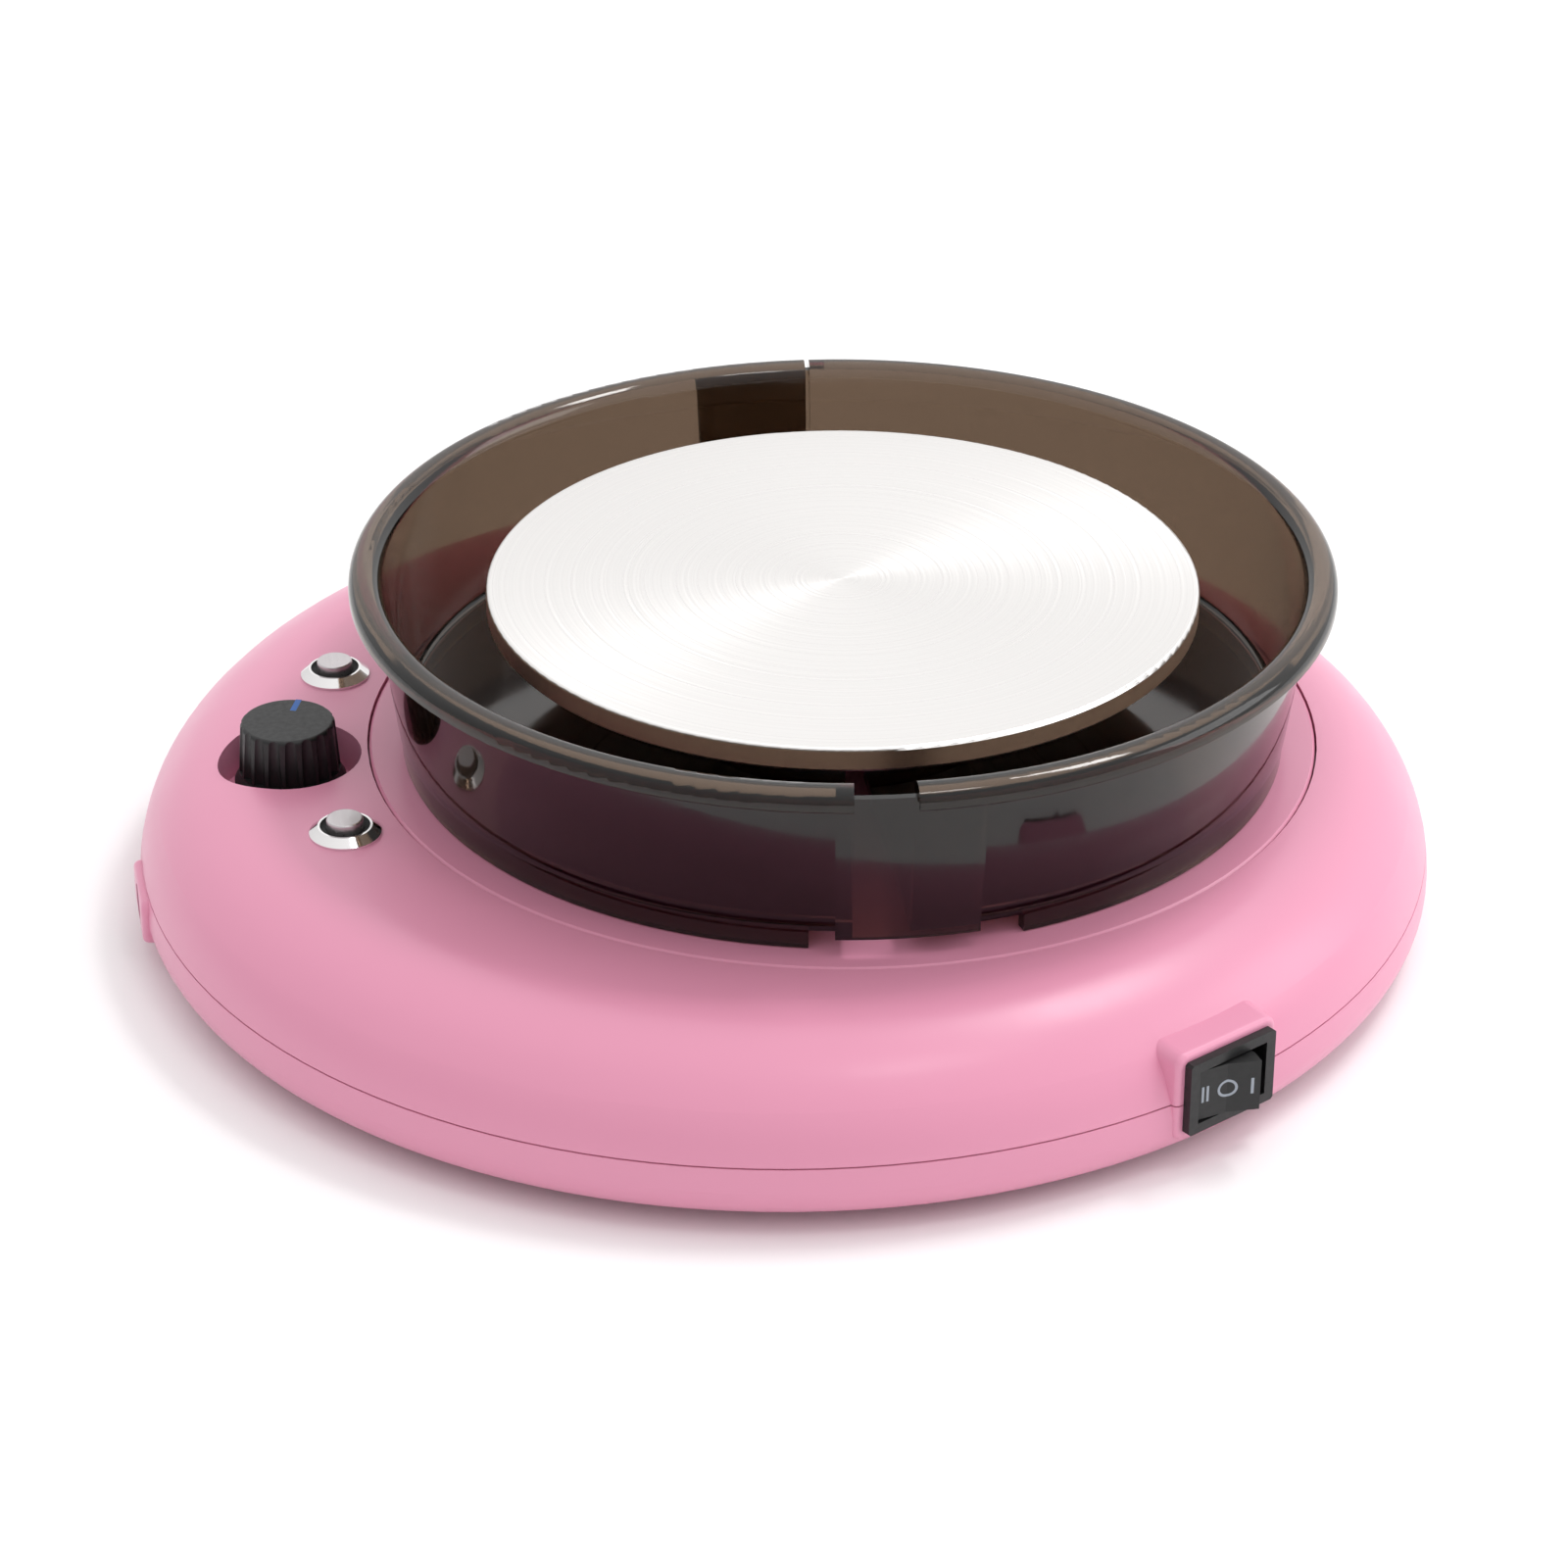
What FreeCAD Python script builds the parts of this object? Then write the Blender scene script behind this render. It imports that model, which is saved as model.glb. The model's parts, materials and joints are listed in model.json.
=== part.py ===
import FreeCAD, Part
import math
import os
import re

import Sketcher
from FreeCAD import Placement, Rotation, Vector

# Small electric pottery wheel: a round two-piece plastic base with a recessed speed knob,
# two metal push buttons, a three-way rocker switch and a DC socket; a belt drive inside;
# an aluminium turntable; and a splash pan made of two identical interlocking halves.
#
# Frame: Z up, the rubber feet stand on Z = 0, the base is centred on the Z axis.
# The controls are on the -X side. The turntable axis is moved towards +X.

doc = FreeCAD.newDocument("pottery_wheel")

SIZES = {
    # base
    "body_radius": 129.0,
    "widest_level": 10.0,
    "deck_level": 34.7,
    "base_level": 3.0,
    "wall": 2.5,
    "seam_level": 15.0,
    "seam_gap": 0.3,
    "shoulder_start": 103.0,
    "shoulder_radius": 23.4,
    "base_round": 7.0,
    "offset": 11.7,
    # centre deck
    "deck_radius": 94.1,
    "deck_opening": 94.5,
    "deck_thick": 3.3,
    "ledge_inner": 89.0,
    "ledge_outer": 96.2,
    "ledge_thick": 2.2,
    "collar_radius": 17.0,
    "collar_bore": 14.5,
    "collar_top": 36.1,
    # feet and case screws
    "foot_radius": 8.0,
    "foot_circle": 96.0,
    "foot_sunk": 1.0,
    "screw_circle": 112.0,
    "boss_radius": 4.0,
    # turntable and drive
    "turntable_radius": 70.0,
    "turntable_thick": 5.0,
    "turntable_top": 67.0,
    "turntable_edge": 0.7,
    "spindle_radius": 4.0,
    "hub_radius": 10.0,
    "bell_radius": 23.0,
    "flange_radius": 26.0,
    "flange_thick": 4.0,
    "bearing_outer": 11.0,
    "bearing_width": 7.0,
    "race_outer": 9.2,
    "race_inner": 5.9,
    "ball_radius": 1.6,
    "housing_radius": 14.0,
    "housing_flange": 21.0,
    "housing_top": 44.0,
    "plate_level": 11.6,
    "plate_thick": 1.5,
    "plate_half_width": 40.0,
    "plate_back": 40.0,
    "plate_front": 84.0,
    "motor_distance": 62.0,
    "motor_radius": 16.0,
    "motor_top": 30.1,
    "pulley_low": 6.3,
    "pulley_high": 10.9,
    "large_pulley": 29.0,
    "small_pulley": 4.5,
    "belt_low": 7.3,
    "belt_high": 9.9,
    "belt_thick": 1.4,
    "belt_gap": 0.08,
    # splash pan
    "pan_floor_low": 38.7,
    "pan_floor_top": 40.7,
    "pan_hole": 30.0,
    "pan_skirt_low": 35.0,
    "pan_skirt_radius": 87.6,
    "pan_foot_radius": 88.3,
    "pan_mouth_radius": 92.3,
    "pan_wall": 2.2,
    "lip_radius": 96.7,
    "lip_top": 72.3,
    "lip_under": 70.6,
    "lip_edge": 68.3,
    "lip_hook": 95.6,
    "half_angle": 176.2,
    "half_step": 183.2,
    "left_start": 85.8,
    "tongue_angle": 15.0,
    "tongue_gap": 1.0,
    "tongue_thick": 1.5,
    # controls
    "control_azimuth": 178.0,
    "knob_distance": 98.2,
    "button_distance": 94.1,
    "button_angle": 20.4,
    "well_radius": 14.2,
    "well_wall": 16.5,
    "well_floor": 25.7,
    "knob_top": 42.3,
    "knob_low": 28.4,
    "knob_radius": 9.3,
    "knob_skirt": 11.0,
    "button_flange": 6.95,
    "button_barrel": 5.9,
    "button_cap": 3.55,
    # rocker switch and DC socket, each on a flat pad on the flank
    "rocker_face": 129.2,
    "rocker_level": 16.4,
    "rocker_azimuth": 300.0,
    "socket_face": 129.9,
    "socket_level": 9.8,
    "socket_azimuth": 183.0,
    "pad_taper": 5.0,
    "pad_round": 1.2,
}

sheet = doc.addObject("Spreadsheet::Sheet", "sizes")
for row, (alias, size) in enumerate(SIZES.items(), start=1):
    sheet.set(f"A{row}", alias)
    sheet.set(f"B{row}", str(size))
    sheet.setAlias(f"B{row}", alias)
doc.recompute()

ALIASES = re.compile(r"\b(" + "|".join(sorted(SIZES, key=len, reverse=True)) + r")\b")
nodes = []


def link(text):
    """Expression for a property: every size name points at its sheet cell."""
    return ALIASES.sub(r"sizes.\1", text)


def number(text):
    """Present value of an expression of sizes."""
    return float(sheet.evalExpression(link(text).replace("sizes.", "")))


def new_body(label, x="0", y="0", turn=0.0):
    """One piece of the assembly, placed at (x, y) and turned about Z by turn degrees."""
    body = doc.addObject("PartDesign::Body", label)
    body.Label = label
    body.Placement = Placement(Vector(number(x), number(y), 0), Rotation(Vector(0, 0, 1), turn))
    body.setExpression("Placement.Base.x", link(x))
    body.setExpression("Placement.Base.y", link(y))
    nodes.append(body)
    return body


def side_body(label, fitting):
    """One piece of a flank fitting: local Z outward, Y up, X along the rim."""
    body = doc.addObject("PartDesign::Body", label)
    body.Label = label
    body.Placement = side_placement(fitting)
    nodes.append(body)
    return body


def side_placement(fitting):
    """Frame of a flank fitting (rocker or socket), its origin on the mounting face."""
    angle = number(f"{fitting}_azimuth")
    reach = number(f"{fitting}_face")
    point = Vector(
        reach * math.cos(math.radians(angle)),
        reach * math.sin(math.radians(angle)),
        number(f"{fitting}_level"),
    )
    turn = Rotation(Vector(0, 0, 1), angle + 90).multiply(Rotation(Vector(1, 0, 0), 90))
    return Placement(point, turn)


def new_sketch(body, name, plane="XY_Plane", lift="0", placed=None):
    """Sketch on an origin plane of the body, lifted along its normal."""
    sketch = body.newObject("Sketcher::SketchObject", name)
    support = [item for item in body.Origin.OriginFeatures if item.Role == plane][0]
    sketch.AttachmentSupport = (support, [""])
    sketch.MapMode = "FlatFace"
    if placed is not None:
        sketch.AttachmentOffset = placed
    else:
        sketch.AttachmentOffset = Placement(Vector(0, 0, number(lift)), Rotation())
        sketch.setExpression("AttachmentOffset.Base.z", link(lift))
    return sketch


def pin_point(sketch, geometry, end, x, y):
    """Hold one sketch point at (x, y), both expressions of sizes."""
    for kind, text, axis in (("DistanceX", x, -2), ("DistanceY", y, -1)):
        if text == "0":
            rule = Sketcher.Constraint("PointOnObject", geometry, end, axis)
            sketch.addConstraint(rule)
            continue
        rule = Sketcher.Constraint(kind, -1, 1, geometry, end, number(text))
        index = sketch.addConstraint(rule)
        sketch.setExpression(f"Constraints[{index}]", link(text))


def arc_between(first, last, radius):
    """Short arc from first to last; a positive radius turns left, a negative one right."""
    chord = last - first
    middle = (first + last) * 0.5
    rise = math.sqrt(max(radius * radius - chord.Length * chord.Length / 4, 0))
    left = Vector(-chord.y, chord.x, 0).normalize()
    centre = middle + left * (rise if radius > 0 else -rise)
    circle = Part.Circle(centre, Vector(0, 0, 1), abs(radius))
    begin = math.atan2(first.y - centre.y, first.x - centre.x)
    finish = math.atan2(last.y - centre.y, last.x - centre.x)
    if radius < 0:
        begin, finish = finish, begin
    return Part.ArcOfCircle(circle, begin, finish)


def add_outline(sketch, corners, arcs=None):
    """Closed outline through corners; arcs maps a corner to the radius of the side after it."""
    arcs = arcs or {}
    count = len(corners)
    start_at = sketch.GeometryCount
    points = [Vector(number(x), number(y), 0) for x, y in corners]
    ends = []
    for index in range(count):
        first = points[index]
        last = points[(index + 1) % count]
        if index in arcs:
            radius = number(arcs[index])
            sketch.addGeometry(arc_between(first, last, radius), False)
            ends.append((1, 2) if radius > 0 else (2, 1))
        else:
            sketch.addGeometry(Part.LineSegment(first, last), False)
            ends.append((1, 2))
    for index in range(count):
        after = (index + 1) % count
        rule = Sketcher.Constraint(
            "Coincident", start_at + index, ends[index][1], start_at + after, ends[after][0]
        )
        sketch.addConstraint(rule)
    for index, (x, y) in enumerate(corners):
        pin_point(sketch, start_at + index, ends[index][0], x, y)
    for index, text in arcs.items():
        size = f"abs({text})"
        rule = Sketcher.Constraint("Radius", start_at + index, abs(number(text)))
        place = sketch.addConstraint(rule)
        sketch.setExpression(f"Constraints[{place}]", link(size))


def add_circle(sketch, x, y, radius):
    """Full circle about (x, y)."""
    circle = Part.Circle(Vector(number(x), number(y), 0), Vector(0, 0, 1), number(radius))
    index = sketch.addGeometry(circle, False)
    pin_point(sketch, index, 3, x, y)
    place = sketch.addConstraint(Sketcher.Constraint("Radius", index, number(radius)))
    sketch.setExpression(f"Constraints[{place}]", link(radius))


def rectangle(x_low, x_high, y_low, y_high):
    """Corners of an upright rectangle, anticlockwise."""
    return [(x_low, y_low), (x_high, y_low), (x_high, y_high), (x_low, y_high)]


def rounded(x_low, x_high, y_low, y_high, r):
    """Corners and arcs of a rectangle with round corners of radius r."""
    corners = [
        (f"{x_low} + {r}", y_low),
        (f"{x_high} - {r}", y_low),
        (x_high, f"{y_low} + {r}"),
        (x_high, f"{y_high} - {r}"),
        (f"{x_high} - {r}", y_high),
        (f"{x_low} + {r}", y_high),
        (x_low, f"{y_high} - {r}"),
        (x_low, f"{y_low} + {r}"),
    ]
    return corners, {1: r, 3: r, 5: r, 7: r}


def solid_volume(body):
    """Volume of the body as it stands."""
    doc.recompute()
    return body.Shape.Volume if body.Tip else 0.0


def pad(body, sketch, height):
    """Add the sketch, drawn up along its normal."""
    feature = body.newObject("PartDesign::Pad", sketch.Name + "_pad")
    feature.Profile = sketch
    feature.Length = number(height)
    feature.setExpression("Length", link(height))
    sketch.Visibility = False
    doc.recompute()
    return feature


def pocket(body, sketch, depth):
    """Take the sketch away, cutting against its normal."""
    before = solid_volume(body)
    feature = body.newObject("PartDesign::Pocket", sketch.Name + "_cut")
    feature.Profile = sketch
    feature.Length = number(depth)
    feature.setExpression("Length", link(depth))
    sketch.Visibility = False
    doc.recompute()
    if body.Shape.Volume >= before - 1e-6:
        raise ValueError(f"{sketch.Name} cuts nothing from {body.Label}")
    return feature


def revolve(body, sketch, angle="360", cut=False):
    """Turn the sketch about its vertical axis."""
    before = solid_volume(body)
    kind = "PartDesign::Groove" if cut else "PartDesign::Revolution"
    feature = body.newObject(kind, sketch.Name + "_turn")
    feature.Profile = sketch
    feature.ReferenceAxis = (sketch, ["V_Axis"])
    feature.Angle = number(angle)
    feature.setExpression("Angle", link(angle))
    sketch.Visibility = False
    doc.recompute()
    if cut and body.Shape.Volume >= before - 1e-6:
        raise ValueError(f"{sketch.Name} cuts nothing from {body.Label}")
    return feature


def turned(body, name, corners, arcs=None):
    """Round piece from half of its section, corners given as (radius, level)."""
    sketch = new_sketch(body, name, "XZ_Plane")
    add_outline(sketch, corners, arcs)
    return revolve(body, sketch)


def posts(body, name, centres, low, high, radius):
    """Add a round post at each centre."""
    sketch = new_sketch(body, name, lift=low)
    for x, y in centres:
        add_circle(sketch, x, y, radius)
    return pad(body, sketch, f"{high} - ({low})")


def bores(body, name, centres, low, high, radius):
    """Cut a round hole at each centre."""
    sketch = new_sketch(body, name, lift=high)
    for x, y in centres:
        add_circle(sketch, x, y, radius)
    return pocket(body, sketch, f"{high} - ({low})")


def block(body, name, corners, low, high, arcs=None):
    """Add a prism standing on an outline."""
    sketch = new_sketch(body, name, lift=low)
    add_outline(sketch, corners, arcs)
    return pad(body, sketch, f"{high} - ({low})")


def slot(body, name, corners, low, high, arcs=None):
    """Cut a prism through an outline."""
    sketch = new_sketch(body, name, lift=high)
    add_outline(sketch, corners, arcs)
    return pocket(body, sketch, f"{high} - ({low})")


def polygon(count, half_flats, turn=0.0):
    """Corners of a regular polygon given half its width across the flats."""
    corners = []
    for index in range(count):
        angle = turn + 360.0 * index / count
        reach = f"({half_flats}) / cos({180.0 / count})"
        corners.append((f"{reach} * cos({angle})", f"{reach} * sin({angle})"))
    return corners


def ring(count, radius, first=0.0, x="0", y="0"):
    """Centres spaced evenly on a circle."""
    centres = []
    for index in range(count):
        angle = first + 360.0 * index / count
        centres.append((f"{x} + {radius} * cos({angle})", f"{y} + {radius} * sin({angle})"))
    return centres


def combine(body, tool, kind):
    """Cut another body out of this one, or fuse it on."""
    feature = body.newObject("PartDesign::Boolean", f"{tool.Label}_{kind.lower()}")
    feature.setObjects([tool])
    feature.Type = kind
    nodes.remove(tool)
    doc.recompute()
    return feature


def subtract(body, tool):
    """Hollow the body with another body."""
    return combine(body, tool, "Cut")


CENTRE = [("0", "0")]
AXIS = [("offset", "0")]
MOTOR = ("offset", "motor_distance")
PLATE_TOP = "(plate_level + plate_thick)"
DECK_UNDER = "(deck_level - deck_thick)"
SKIN_UNDER = "(deck_level - wall)"
TABLE_UNDER = "(turntable_top - turntable_thick)"
LOWER_BEARING = f"({PLATE_TOP} + 1)"
UPPER_BEARING = "(housing_top - 0.1 - bearing_width)"

# ---------------------------------------------------------------- base shells

# The shoulder of the base is two arcs tangent to the flat deck and to the widest ring.
RISE = "(deck_level - widest_level)"
SMALL_X = "(body_radius - shoulder_radius)"
RUN = f"({SMALL_X} - shoulder_start)"
LARGE = f"(({RUN}^2 + {RISE}^2 - shoulder_radius^2) / (2 * ({RISE} - shoulder_radius)))"
JOIN_X = f"(({SMALL_X} - shoulder_start) / ({LARGE} - shoulder_radius))"
JOIN_Z = f"((widest_level - deck_level + {LARGE}) / ({LARGE} - shoulder_radius))"


def shoulder_join(inset):
    """Point where the two shoulder arcs meet, moved inward by inset."""
    radius = f"(shoulder_radius - {inset})"
    return f"{SMALL_X} + {radius} * {JOIN_X}", f"widest_level + {radius} * {JOIN_Z}"


def flank(level, inset):
    """Radius of the small shoulder arc at a level, moved inward by inset."""
    return f"{SMALL_X} + sqrt((shoulder_radius - {inset})^2 - ({level} - widest_level)^2)"


def dome(body, name, low, inset):
    """Everything under the shoulder down to a level, moved inward by inset."""
    top = f"deck_level - {inset}"
    corners = [
        ("0", low),
        (flank(low, inset), low),
        shoulder_join(inset),
        ("shoulder_start", top),
        ("0", top),
    ]
    arcs = {1: f"shoulder_radius - {inset}", 2: f"{LARGE} - {inset}"}
    return turned(body, name, corners, arcs)


def side_sketch(body, name, fitting, depth="0"):
    """Sketch parallel to the mounting face of a flank fitting."""
    sunk = Placement(Vector(0, 0, number(depth)), Rotation())
    return new_sketch(body, name, placed=side_placement(fitting).multiply(sunk))


def flank_pad(body, fitting, half_width, low, high, depth):
    """Raised pad with a flat face, sloping sides and round edges, low and high from its centre."""
    block_body = new_body(f"{body.Label}_{fitting}_pad")
    sketch = side_sketch(block_body, f"{fitting}_pad", fitting, f"-{depth}")
    grow = f"{depth} * tan(pad_taper)"
    corners, arcs = rounded(f"-{half_width} - {grow}", f"{half_width} + {grow}",
                            f"{low} - {grow}", f"{high} + {grow}", f"(2.2 + {grow})")
    add_outline(sketch, corners, arcs)
    feature = pad(block_body, sketch, depth)
    feature.TaperAngle = -number("pad_taper")
    feature.setExpression("TaperAngle", link("-pad_taper"))
    doc.recompute()
    to_face = side_placement(fitting).inverse()
    rim = []
    for index, edge in enumerate(feature.Shape.Edges, start=1):
        if all(abs(to_face.multVec(vertex.Point).z) < 1e-4 for vertex in edge.Vertexes):
            rim.append(f"Edge{index}")
    round_edge = block_body.newObject("PartDesign::Fillet", f"{fitting}_pad_round")
    round_edge.Base = (feature, rim)
    round_edge.Radius = number("pad_round")
    round_edge.setExpression("Radius", link("pad_round"))
    doc.recompute()
    combine(body, block_body, "Fuse")


def polar(distance, azimuth):
    """Point at a distance and azimuth from the centre of the base."""
    return f"{distance} * cos({azimuth})", f"{distance} * sin({azimuth})"


KNOB = polar("knob_distance", "control_azimuth")
BUTTONS = [
    polar("button_distance", "(control_azimuth - button_angle)"),
    polar("button_distance", "(control_azimuth + button_angle)"),
]


UPPER_LOW = "(seam_level + seam_gap / 2)"
LOWER_HIGH = "(seam_level - seam_gap / 2)"
CASE_SCREWS = ring(4, "screw_circle", 20.0)
LEDGE_SCREWS = ring(4, "(ledge_inner + 2.7)", 45.0, "offset")
ROCKER_CUT = rectangle("-9.7", "9.7", "-6.6", "6.6")
ROCKER_PAD = ("12.2", "-9", "8.9", "13")
SOCKET_PAD = ("10", "-4.6", "4.4", "7")

# Space inside the upper shell, with the well, bosses and deck ledge left standing.
upper_space = new_body("upper_space")
dome(upper_space, "upper_space_section", UPPER_LOW + " - 1", "wall")
bores(upper_space, "well_left", [KNOB], "well_floor - 2", "deck_level + 5", "well_wall")
bores(upper_space, "boss_left", CASE_SCREWS, "seam_level - 5", "deck_level + 5", "boss_radius")
ledge_left = new_sketch(upper_space, "ledge_left", lift="deck_level + 5")
add_circle(ledge_left, "offset", "0", "ledge_outer")
add_circle(ledge_left, "offset", "0", "ledge_inner")
pocket(upper_space, ledge_left, f"deck_level + 5 - {DECK_UNDER} + ledge_thick")

upper_shell = new_body("upper_shell")
dome(upper_shell, "upper_section", UPPER_LOW, "0")
flank_pad(upper_shell, "rocker", *ROCKER_PAD)
bores(upper_shell, "pad_below_seam", CENTRE, "0", UPPER_LOW, "150")
subtract(upper_shell, upper_space)
bores(upper_shell, "deck_seat", AXIS, DECK_UNDER, "deck_level + 5", "deck_opening")
bores(upper_shell, "well", [KNOB], "well_floor", "deck_level + 5", "well_radius")
bores(upper_shell, "pot_hole", [KNOB], "well_floor - 5", "well_floor + 1", "3.6")
bores(upper_shell, "button_holes", BUTTONS, "25", "deck_level + 5", "button_barrel + 0.1")
bores(upper_shell, "boss_threads", CASE_SCREWS, "seam_level - 1", "27.5", "1.5")
bores(upper_shell, "ledge_screw_holes", LEDGE_SCREWS, "25", "deck_level - 1", "1.5")
rocker_cut_high = side_sketch(upper_shell, "rocker_cut_high", "rocker", "5")
add_outline(rocker_cut_high, ROCKER_CUT)
pocket(upper_shell, rocker_cut_high, "20")

# Space inside the lower shell, with every standoff left standing.
FLOOR = "(base_level + wall)"
PLATE_SPOTS = [
    ("offset - plate_half_width + 5", "5 - plate_back"),
    ("offset + plate_half_width - 5", "5 - plate_back"),
    ("offset - plate_half_width + 5", "plate_front - 5"),
    ("offset + plate_half_width - 5", "plate_front - 5"),
]
BOARD_SPOTS = [("-79", "-24"), ("-41", "-24"), ("-79", "24"), ("-41", "24")]


def dish(body, name, low, high, inset):
    """Everything inside the lower flank, from low to high, moved inward by inset."""
    bottom_round = f"base_round - {inset}"
    corners = [
        ("0", low),
        ("body_radius - base_round", low),
        (f"body_radius - {inset}", "widest_level"),
        (flank(high, inset), high),
        ("0", high),
    ]
    arcs = {1: bottom_round, 2: f"shoulder_radius - {inset}"}
    return turned(body, name, corners, arcs)


lower_space = new_body("lower_space")
dish(lower_space, "lower_space_section", FLOOR, LOWER_HIGH + " + 1", "wall")
bores(lower_space, "posts_left", CASE_SCREWS, "base_level", "seam_level + 5", "boss_radius")
bores(lower_space, "plate_posts_left", PLATE_SPOTS, "base_level", "plate_level", "3.5")
bores(lower_space, "board_posts_left", BOARD_SPOTS, "base_level", "9.5", "2.5")
socket_boss = side_sketch(lower_space, "socket_boss_left", "socket", "5")
add_circle(socket_boss, "0", "0", "6.5")
pocket(lower_space, socket_boss, "12")

lower_shell = new_body("lower_shell")
dish(lower_shell, "lower_section", "base_level", LOWER_HIGH, "0")
flank_pad(lower_shell, "rocker", *ROCKER_PAD)
flank_pad(lower_shell, "socket", *SOCKET_PAD)
bores(lower_shell, "pads_above_seam", CENTRE, LOWER_HIGH, "60", "150")
subtract(lower_shell, lower_space)
bores(lower_shell, "screw_heads", CASE_SCREWS, "base_level - 1", "8", "3.2")
bores(lower_shell, "screw_shanks", CASE_SCREWS, "7", "seam_level + 1", "1.7")
bores(lower_shell, "plate_threads", PLATE_SPOTS, FLOOR, "plate_level + 1", "1.5")
bores(lower_shell, "board_threads", BOARD_SPOTS, FLOOR, "10.5", "1")
FEET = ring(4, "foot_circle", 45.0)
bores(lower_shell, "foot_seats", FEET, "base_level - 1", "base_level + foot_sunk",
      "foot_radius + 0.1")
rocker_cut_low = side_sketch(lower_shell, "rocker_cut_low", "rocker", "5")
add_outline(rocker_cut_low, ROCKER_CUT)
pocket(lower_shell, rocker_cut_low, "20")
socket_cut = side_sketch(lower_shell, "socket_cut", "socket", "5")
add_circle(socket_cut, "0", "0", "3.6")
pocket(lower_shell, socket_cut, "20")

# ---------------------------------------------------------------- deck, feet and screws

centre_deck = new_body("centre_deck", "offset")
turned(
    centre_deck,
    "deck_section",
    [
        ("collar_bore", DECK_UNDER),
        ("deck_radius", DECK_UNDER),
        ("deck_radius", "deck_level - 0.5"),
        ("deck_radius - 0.5", "deck_level"),
        ("collar_radius + 0.8", "deck_level"),
        ("collar_radius", "deck_level + 0.8"),
        ("collar_radius", "collar_top"),
        ("collar_bore", "collar_top"),
    ],
    {4: "-0.8"},
)
bores(centre_deck, "deck_threads", ring(4, "(ledge_inner + 2.7)", 45.0), "deck_level - 5",
      "deck_level - 0.9", "1.2")

deck_screws = new_body("deck_screws")
posts(deck_screws, "deck_screw_shanks", LEDGE_SCREWS, f"{DECK_UNDER} - ledge_thick",
      "deck_level - 1", "1.2")
posts(deck_screws, "deck_screw_heads", LEDGE_SCREWS, f"{DECK_UNDER} - ledge_thick - 1.6",
      f"{DECK_UNDER} - ledge_thick", "2.4")

rubber_feet = new_body("rubber_feet")
posts(rubber_feet, "foot_pads", FEET, "0.8", "base_level + foot_sunk", "foot_radius")
posts(rubber_feet, "foot_soles", FEET, "0", "0.8", "foot_radius - 0.8")

case_screws = new_body("case_screws")
posts(case_screws, "case_screw_shanks", CASE_SCREWS, "8", "27", "1.5")
posts(case_screws, "case_screw_heads", CASE_SCREWS, "5.4", "8", "2.9")
case_drive = new_sketch(case_screws, "case_screw_recess", lift="7.2")
for spot_x, spot_y in CASE_SCREWS:
    add_outline(case_drive, rectangle(f"{spot_x} - 1.6", f"{spot_x} + 1.6",
                                      f"{spot_y} - 0.4", f"{spot_y} + 0.4"))
pocket(case_screws, case_drive, "3")

# ---------------------------------------------------------------- drive

chassis_plate = new_body("chassis_plate")
plate_outline = rounded("offset - plate_half_width", "offset + plate_half_width",
                        "-plate_back", "plate_front", "6")
block(chassis_plate, "plate_sheet", plate_outline[0], "plate_level", PLATE_TOP,
      plate_outline[1])
bores(chassis_plate, "plate_bearing_hole", AXIS, "plate_level - 1", "plate_level + 5", "9.5")
bores(chassis_plate, "plate_motor_hole", [MOTOR], "plate_level - 1", "plate_level + 5", "3.6")
bores(chassis_plate, "plate_corner_holes", PLATE_SPOTS, "plate_level - 1", "plate_level + 5",
      "1.7")
HOUSING_SCREWS = ring(4, "17.5", 45.0, "offset")
MOTOR_SCREWS = ring(2, "10", 0.0, *MOTOR)
bores(chassis_plate, "plate_tapped_holes", HOUSING_SCREWS + MOTOR_SCREWS, "plate_level - 1",
      "plate_level + 5", "1.5")

chassis_screws = new_body("chassis_screws")
posts(chassis_screws, "chassis_screw_shanks", PLATE_SPOTS, "6.5", PLATE_TOP, "1.5")
posts(chassis_screws, "chassis_screw_heads", PLATE_SPOTS, PLATE_TOP, f"{PLATE_TOP} + 2", "2.8")

bearing_housing = new_body("bearing_housing", "offset")
turned(
    bearing_housing,
    "housing_section",
    [
        ("bearing_outer - 1.6", PLATE_TOP),
        ("housing_flange", PLATE_TOP),
        ("housing_flange", f"{PLATE_TOP} + 3"),
        ("housing_radius", f"{PLATE_TOP} + 3"),
        ("housing_radius", "housing_top"),
        ("bearing_outer", "housing_top"),
        ("bearing_outer", UPPER_BEARING),
        ("bearing_outer - 1.6", UPPER_BEARING),
        ("bearing_outer - 1.6", f"{LOWER_BEARING} + bearing_width"),
        ("bearing_outer", f"{LOWER_BEARING} + bearing_width"),
        ("bearing_outer", LOWER_BEARING),
        ("bearing_outer - 1.6", LOWER_BEARING),
    ],
)
bores(bearing_housing, "housing_holes", ring(4, "17.5", 45.0), "10", f"{PLATE_TOP} + 5", "1.7")

housing_screws = new_body("housing_screws")
posts(housing_screws, "housing_screw_shanks", HOUSING_SCREWS, "plate_level",
      f"{PLATE_TOP} + 3", "1.5")
posts(housing_screws, "housing_screw_heads", HOUSING_SCREWS, f"{PLATE_TOP} + 3",
      f"{PLATE_TOP} + 5", "2.7")


def race_pair(label, inner, outer):
    """Matching rings of the lower and the upper ball bearing."""
    body = new_body(label, "offset")
    for name, low in (("lower", LOWER_BEARING), ("upper", UPPER_BEARING)):
        sketch = new_sketch(body, f"{label}_{name}", lift=low)
        add_circle(sketch, "0", "0", inner)
        add_circle(sketch, "0", "0", outer)
        pad(body, sketch, "bearing_width")
    return body


race_pair("bearing_outer_races", "race_outer", "bearing_outer")
race_pair("bearing_inner_races", "spindle_radius", "race_inner")

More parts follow.
